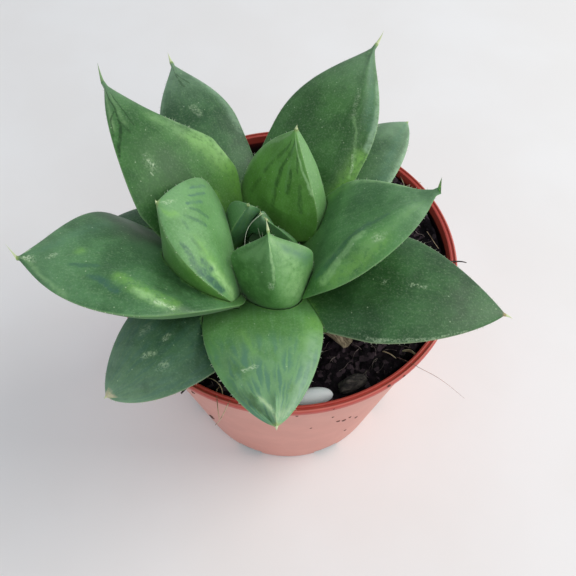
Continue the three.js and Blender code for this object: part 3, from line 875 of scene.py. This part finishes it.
# Five old leaves lie lowest, darker and duller, their tips dried off.
old_tones = dict(deep=(42, 82, 46), flesh=(66, 110, 66))
grow_leaf(
    "leaf_right", "leaf_old", heading=-21, foot=73, reach=57, tip_height=84, arch=6, sway=2.5, width=29,
    depth=8, widest=0.5, shoulder=1.5, taper=0.9, awn=2.5, awn_lift=-20, dry_edge=0.5, tip_fade=0.04,
    tones=dict(deep=(34, 74, 35), flesh=(56, 102, 54), margin=(156, 170, 134), tip=(170, 150, 108)),
    top_marks=[
        # The broad dark stroke near the foot is a painted shadow, cast by the leaf above it.
        ("dark", 0.6, 8, (15, 10, 45, 40)), ("pale", 0.4, 0.5, (50, 96, 85, 96)),
        ("pale", 0.6, 0.7, (66, -6, 60, -2)), ("pale", 0.7, 0.5, (50, 3, 49, 6)),
    ],
)
grow_leaf(
    "leaf_back_left", "leaf_old", tones=old_tones, heading=115, foot=73, reach=55.5, tip_height=92,
    arch=4, sway=-0.5, width=19.5, depth=7, widest=0.55, taper=1.4, roll=-2, awn_lift=30, tip_half=0.5,
    tip_fade=0.6,
    top_marks=[
        ("fade", 0.5, 2, (50, 95, 85, 90)), ("dark", 0.6, 0.6, (96, -30, 80, 2)),
        ("dark", 0.6, 0.5, (90, -10, 82, 30)), ("tip", 0.5, 1.2, (99, 0, 95, 0)),
        ("pale", 0.3, 1.2, (67, 0, 62, 10)), ("fade", 0.3, 1.2, (50, -97, 90, -95)),
    ],
)
grow_leaf(
    "leaf_front_left_low", "leaf_old", heading=229, foot=72, reach=47.5, tip_height=76.5, arch=4.5,
    sway=-2, width=26, depth=5.5, taper=0.7, roll=4, awn=0.8, awn_lift=0, windows=0.4,
    windows_from=0.35, dry_edge=0.5, tip_fade=0.6,
    tones=dict(deep=(46, 84, 64), flesh=(72, 108, 88), tip=(206, 196, 160), margin=(160, 168, 136)),
    top_marks=[
        # The first, strong dark stroke at the foot is painted shade, where the leaf lies low among the
        # others over the dark soil.
        ("dark", 0.8, 7, (30, -10, 50, 10)), ("dark", 0.3, 6, (50, -70, 90, -60)),
        ("tip", 0.9, 1, (98, -60, 99, 30)), ("pale", 0.6, 0.8, (61, 2, 59, 3)),
        ("pale", 0.6, 1, (73, 5, 70, -5)), ("pale", 0.4, 1.4, (72, -40, 70, -38)),
        ("pale", 0.3, 1.4, (66, 45, 63, 43)),
    ],
)
grow_leaf(
    "leaf_back_right_low", "leaf_old", heading=44, foot=71.5, reach=53, tip_height=84, arch=3.5,
    width=22, depth=7, taper=0.8, awn=0.6, roll=-3, tip_fade=0.7,
    tones=dict(deep=(52, 92, 54), flesh=(78, 118, 76)),
    top_marks=[
        ("window", 0.5, 3, (95, 30, 60, 85)), ("fade", 0.7, 1.6, (60, 97, 92, 95)),
    ],
)
grow_leaf(
    "leaf_left_low", "leaf_old", tones=old_tones, heading=176, foot=71, reach=42, tip_height=80, arch=3,
    sway=1, width=22, depth=6,
)

# ---
# The stem is a short, corky stub hidden among the leaf bases, green at its top,
# with thick pale roots down in the soil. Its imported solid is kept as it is.

stem_finish, stem_place, stem_shader = new_finish("stem_cork", Roughness=0.8)
green_top = stem_place.parts()[2].rise(76 * mm, 79 * mm)
stem_rings = stem_place.vector("MULTIPLY", (1, 1, 4)).grain(2.5 * mm, 4, 0.6).rise(0.35, 0.7)
stem_bark = stem_rings.blend(tone(112, 96, 60), tone(176, 164, 118))
stem_colour = green_top.blend(stem_bark, tone(40, 70, 34))
feed(stem_shader, Base_Color=stem_colour, Normal=stem_rings.bump(0.2 * mm))
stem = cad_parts["stem_and_roots"]
stem.data.materials.clear()
stem.data.materials.append(stem_finish)

# ---
# A smooth, pale, bluish river pebble and a dark, rough chip of bark lie half
# sunk in the soil at the front, just inside the lip.


def lump(name, place, half_sizes, turn, wear, roughen, material):
    """A ball pulled out to half_sizes, worn unevenly and turned by degrees."""
    mesh = bmesh.new()
    bmesh.ops.create_icosphere(mesh, subdivisions=5, radius=1)
    for point in mesh.verts:
        p = point.co.copy()
        uneven = 1 + wear * sin(2 * p.x + 1) * cos(3 * p.y - 2 * p.z)
        uneven += roughen(p)
        point.co = Vector([p[k] * half_sizes[k] * uneven for k in range(3)]) * mm
    spin = Matrix.Rotation(radians(turn), 4, "Z")
    bmesh.ops.transform(mesh, verts=mesh.verts, matrix=Matrix.Translation(Vector(place) * mm) @ spin)
    piece = new_piece(name, mesh, material)
    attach(piece, "root")
    return piece


pebble_finish, pebble_place, pebble_shader = new_finish("river_pebble", Roughness=0.5)
pebble_cloud = pebble_place.grain(4 * mm, 4, 0.6).rise(0.3, 0.7)
pebble_colour = pebble_cloud.blend(tone(242, 247, 250), tone(252, 254, 255))
pebble_specks = pebble_place.cells(0.9 * mm).rise(0.16, 0.08) * 0.35
feed(
    pebble_shader,
    Base_Color=pebble_specks.blend(pebble_colour, tone(176, 186, 194)),
    Normal=(pebble_cloud * 0.5 + pebble_place.grain(0.4 * mm, 3)).bump(0.04 * mm),
)


def dimpled(p):
    return 0.03 * noise.noise(p * 1.4)


pebble = lump("river_pebble", (5.4, -36.9, 66), (5, 2.2, 2), 9, 0.05, dimpled, pebble_finish)
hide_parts("pebble")

bark_finish, bark_place, bark_shader = new_finish("bark", Roughness=0.85)
bark_layers = bark_place.vector("MULTIPLY", (0.35, 1, 1.6)).grain(1.1 * mm, 5, 0.65).rise(0.35, 0.7)
bark_colour = bark_layers.blend(tone(38, 34, 34), tone(96, 88, 82))
feed(bark_shader, Base_Color=bark_colour, Normal=bark_layers.bump(0.35 * mm))


def flaked(p):
    layers = noise.noise(Vector((p.x * 1.2, p.y * 3, p.z * 6)))
    return 0.11 * layers + 0.07 * noise.noise(p * 7)


chip = lump("bark_piece", (14.8, -33.7, 66), (3.6, 1.9, 1.9), 24, 0.16, flaked, bark_finish)
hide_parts("bark_chip")

# ---
# The husk is the dry, papery stub of a leaf that was shed. It is a thin curled
# plate, ribbed lengthwise, with a torn end.

husk_place = Vector((8.5, -17.5, 67.2))
husk_heading = radians(-51)
husk_length = 9
husk_width = 6.4
husk_thickness = 0.54
husk_narrowing = 0.55
husk_hump = 1.6
husk_edge_lift = 1.1

husk_forward = Vector((cos(husk_heading), sin(husk_heading), 0))
husk_side = Vector((-sin(husk_heading), cos(husk_heading), 0))
husk_finish, husk_paint, husk_shader = new_finish("dry_leaf", Roughness=0.75)
lengthwise = {"Vector": husk_paint, "Rotation": (0, 0, husk_heading)}
turned_paint = husk_paint.node("ShaderNodeMapping", {"vector_type": "TEXTURE"}, lengthwise)
husk_ribs = turned_paint.vector("MULTIPLY", (0.15, 1, 1)).grain(0.5 * mm, 3, 0.6).rise(0.35, 0.7)
husk_colour = husk_ribs.blend(tone(104, 88, 68), tone(190, 174, 144))
feed(husk_shader, Base_Color=husk_colour, Normal=husk_ribs.bump(0.15 * mm))

husk_mesh = bmesh.new()
bmesh.ops.create_grid(husk_mesh, x_segments=44, y_segments=30, size=0.5)
for point in husk_mesh.verts:
    u = point.co.x + 0.5
    across = point.co.y * 2
    half = husk_width / 2 * (1 - husk_narrowing * u * u)
    torn = 0.9 * noise.noise(Vector((across * 2.2, 4, 0))) * ease(u, 0.6, 1)
    centre = husk_place + husk_forward * (husk_length * u * (1 - 0.04 * torn) + torn * 0.4)
    centre.z += husk_hump * sin(pi * u) + husk_edge_lift * across * across
    ripple = 0.12 * noise.noise(Vector((across * 5, u * 2, 7)))
    point.co = (centre + husk_side * half * across + Vector((0, 0, ripple))) * mm
bmesh.ops.solidify(husk_mesh, geom=husk_mesh.faces[:], thickness=husk_thickness * mm)
bmesh.ops.recalc_face_normals(husk_mesh, faces=husk_mesh.faces)
husk = new_piece("dry_husk", husk_mesh, husk_finish)
crisp(husk, 50)
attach(husk, "root")
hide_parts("husk")

# ---
# Loose crumbs of peat and grit lie on the soil, and fine brown and pale root
# fibres run over and out of it.

handfuls = 84
crumbs_in_one = 50
crumb_least = 0.14
crumb_more = 0.5
fibre_count = 420
fibre_steps = 5
draw = random.Random(7)


def anywhere(reach):
    """A place at random within this distance of the pot's axis."""
    radius = reach * sqrt(draw.random())
    turn = draw.uniform(0, 2 * pi)
    return radius * cos(turn), radius * sin(turn)


crumbs = bmesh.new()
for _ in range(handfuls):
    handful = bmesh.new()
    for _ in range(crumbs_in_one):
        x, y = anywhere(soil_radius - 0.9)
        size = crumb_least + crumb_more * draw.random() ** 3
        place = Matrix.Translation(Vector((x, y, soil_height(x, y) + size * 0.3)) * mm)
        spin = Matrix.Rotation(draw.uniform(0, 6), 4, Vector((draw.random(), draw.random(), 0.1)))
        flat = [size * mm, size * draw.uniform(0.5, 1) * mm, size * draw.uniform(0.4, 0.9) * mm, 1]
        matrix = place @ spin @ Matrix.Diagonal(flat)
        bmesh.ops.create_icosphere(handful, subdivisions=1, radius=1, matrix=matrix)
    scattered = bpy.data.meshes.new("handful")
    handful.to_mesh(scattered)
    handful.free()
    crumbs.from_mesh(scattered)
    bpy.data.meshes.remove(scattered)
crumb_pieces = new_piece("peat_crumbs", crumbs, soil_finish)
crisp(crumb_pieces, 20)
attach(crumb_pieces, "root")


def two_toned(name, roughness, dark, light, size, detail, *span):
    """A finish that drifts between two tones over about this size in mm."""
    material, place, shader = new_finish(name, Roughness=roughness)
    drift = place.grain(size * mm, detail)
    if span:
        drift = drift.rise(*span)
    feed(shader, Base_Color=drift.blend(tone(*dark), tone(*light)))
    return material


def strands(name, runs, material):
    """Fine threads as one mesh. A run is a list of (x, y, z, radius) in mm."""
    curve = bpy.data.curves.new(name, "CURVE")
    curve.dimensions = "3D"
    curve.bevel_depth = 1
    curve.bevel_resolution = 1
    curve.resolution_u = 4
    curve.use_fill_caps = True
    for run in runs:
        spline = curve.splines.new("NURBS")
        spline.points.add(len(run) - 1)
        spline.order_u = min(4, len(run))
        spline.use_endpoint_u = True
        for point, (x, y, z, radius) in zip(spline.points, run):
            point.co = (x * mm, y * mm, z * mm, 1)
            point.radius = radius * mm
    drawn = add(name, curve)
    graph = bpy.context.evaluated_depsgraph_get()
    data = bpy.data.meshes.new_from_object(drawn.evaluated_get(graph))
    bpy.data.objects.remove(drawn)
    piece = smooth_piece(name, data, material)
    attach(piece, "root")
    return piece


fibre_finish = two_toned("root_fibre", 0.7, (66, 54, 54), (142, 126, 122), 3, 2, 0.4, 0.62)
fibre_runs = []
for _ in range(fibre_count):
    x, y = anywhere(soil_radius - 2)
    way = draw.uniform(0, 2 * pi)
    length = draw.uniform(1, 4.5)
    thick = draw.uniform(0.03, 0.1)
    run = []
    for step in range(fibre_steps + 1):
        way += draw.uniform(-0.7, 0.7)
        x += cos(way) * length / fibre_steps
        y += sin(way) * length / fibre_steps
        if hypot(x, y) < soil_radius - 1:
            rise = 0.25 + draw.uniform(-0.1, 0.5) * sin(pi * step / fibre_steps)
            run.append((x, y, soil_height(x, y) + rise, thick * (1 - 0.12 * step)))
    if len(run) > 3:
        fibre_runs.append(run)
fibres = strands("soil_fibres", fibre_runs, fibre_finish)

pale_finish = two_toned("pale_root", 0.6, (134, 110, 84), (206, 184, 150), 2, 3, 0.35, 0.65)
pale_runs = [
    [(26.8, -25.6, 65.6, 0.35), (28.6, -25, 67, 0.42), (28.9, -26.6, 68.2, 0.36), (29.4, -27.4, 69, 0.25)],
    [(22.4, -25.7, 66.6, 0.14), (23.9, -26.2, 67.2, 0.14), (25.4, -27.5, 66.6, 0.1)],
    [(-15.6, -34, 66, 0.14), (-16.4, -36.6, 69, 0.13), (-15.5, -38.5, 71.2, 0.12),
     (-15.3, -41.6, 71.4, 0.11), (-14.9, -43.4, 70, 0.09)],
    [(-12, -36.5, 66.4, 0.13), (-12.4, -39, 71, 0.12), (-13.6, -41.6, 71.3, 0.12),
     (-14.6, -43.6, 69.6, 0.1), (-16, -44.2, 68, 0.07)],
    [(-18.5, -32.6, 67, 0.12), (-16.6, -34.3, 70.6, 0.12), (-14.2, -35.6, 70.4, 0.11),
     (-14.6, -38.4, 69.4, 0.1)],
    [(30.2, 29, 69, 0.14), (30.8, 27, 69.8, 0.16), (31.4, 25, 69.6, 0.14), (32, 23, 69.2, 0.1)],
    [(32, 22.4, 69.4, 0.12), (33.2, 23.2, 70, 0.14), (34.6, 23.2, 70, 0.13), (36.4, 24, 69.6, 0.1)],
    [(36.2, 7.4, 69.4, 0.07), (37, 5.2, 70, 0.08), (37.3, 3.8, 69.9, 0.08), (38.6, 2, 69.4, 0.06)],
]
pale_roots = strands("pale_roots", pale_runs, pale_finish)

hair_finish = two_toned("brown_hair", 0.5, (140, 104, 90), (180, 146, 130), 4, 2, 0.4, 0.6)
hair_runs = [
    [(25.6, -27.4, 67, 0.08), (27.4, -30.4, 71.2, 0.07), (29.6, -32.6, 72, 0.06),
     (33, -34, 71.6, 0.05), (36.4, -36.4, 70.6, 0.04), (39, -38.8, 70, 0.02)],
]
rim_hair = strands("rim_hair", hair_runs, hair_finish)
dark_runs = [
    [(38.4, -2.6, 69.4, 0.2), (41, -3.1, 71.4, 0.22), (43, -3.2, 71.5, 0.2), (44.4, -3.6, 71.3, 0.12)],
    [(-21, -34.6, 70.2, 0.2), (-22.4, -36.6, 71.3, 0.3), (-23.6, -38, 70.9, 0.2)],
]
dark_strands = strands("dark_strands", dark_runs, bark_finish)

# ---
# Soft pale teeth stand along the leaves' margins towards their tips, and a few
# dry threads of old leaf margin lie across the heart.

tooth_finish = two_toned("dry_tooth", 0.6, (186, 206, 170), (226, 232, 212), 4, 2)
teeth_from = 0.45
tooth_gap = 1.5
tooth_radius = 0.06
tooth_end = 0.01
tooth_sunk = 0.1
teeth = bmesh.new()
for plan in younger:
    for edge_side in (-1, 1):
        for _ in range(int(plan.length * (1 - teeth_from) / tooth_gap)):
            u = draw.uniform(teeth_from, 0.99)
            _, forward, side, up = leaf_spine(plan, u)
            way = side * edge_side + forward * draw.uniform(0.3, 1) + up * draw.uniform(-0.1, 0.4)
            length = draw.uniform(0.25, 0.6)
            foot = leaf_point(plan, u, edge_side * pi / 2, -tooth_sunk)
            middle = Matrix.Translation((foot + way.normalized() * length / 2) * mm)
            matrix = middle @ way.to_track_quat("Z", "Y").to_matrix().to_4x4()
            ends = {"radius1": tooth_radius * mm, "radius2": tooth_end * mm, "depth": length * mm}
            bmesh.ops.create_cone(teeth, segments=3, matrix=matrix, **ends)
margin_teeth = new_piece("margin_teeth", teeth, tooth_finish)
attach(margin_teeth, "root")

thread_runs = [
    [(-4.7, -5.4, 90.5, 0.05), (-4.7, -5.7, 93, 0.04), (-4.8, -6, 95, 0.035),
     (-6.8, -8.5, 95.5, 0.035), (-8.4, -10.5, 95.5, 0.035), (-9, -13, 95.2, 0.03), (-9, -14.6, 94, 0.03)],
    [(-5.9, -9.4, 89, 0.05), (-6.2, -9.8, 92.5, 0.04), (-6.4, -9.9, 94, 0.03)],
    [(-5.3, -10.4, 89, 0.05), (-5.4, -10.8, 92, 0.04), (-5.5, -11, 94, 0.03)],
]
heart_threads = strands("heart_threads", thread_runs, tooth_finish)

# ---
# Splashes of dried soil cling to the front of the pot's wall and to its lip,
# each a rough, flat crumb.

# The angle round the pot in degrees, the height and the half size of each.
splashes = [
    (-76.3, 70.2, 0.3), (-70.5, 47.2, 0.6), (-67.6, 45.2, 0.7), (-65.1, 45.9, 0.45), (-60.7, 40.1, 0.5),
    (-87.1, 63.3, 0.35), (-73.9, 55.2, 0.4), (-61.7, 24.4, 0.5), (-81.2, 46.7, 0.35), (-126, 56.8, 0.7),
    (-129, 26, 1.1), (-128, 28.5, 0.6), (-58, 70.6, 0.5), (-52, 70.2, 0.4),
]
splash_flatness = 0.3
splash_roughness = 0.12
dirt_finish = two_toned("dried_soil", 0.8, (70, 44, 40), (118, 78, 68), 0.8, 3)
dirt = bmesh.new()
for angle, height, size in splashes:
    radius = rim_radius if height > under_lip else wall_radius(height)
    place = Matrix.Translation((radius * mm, 0, height * mm))
    flat = Matrix.Diagonal((size * splash_flatness * mm, size * mm, size * 0.8 * mm, 1))
    turn = Matrix.Rotation(radians(angle), 4, "Z")
    bmesh.ops.create_icosphere(dirt, subdivisions=2, radius=1, matrix=turn @ place @ flat)
noise.seed_set(5)
for point in dirt.verts:
    point.co += noise.noise_vector(point.co / mm * 1.7) * splash_roughness * mm
soil_splashes = new_piece("soil_splashes", dirt, dirt_finish)
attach(soil_splashes, "root")
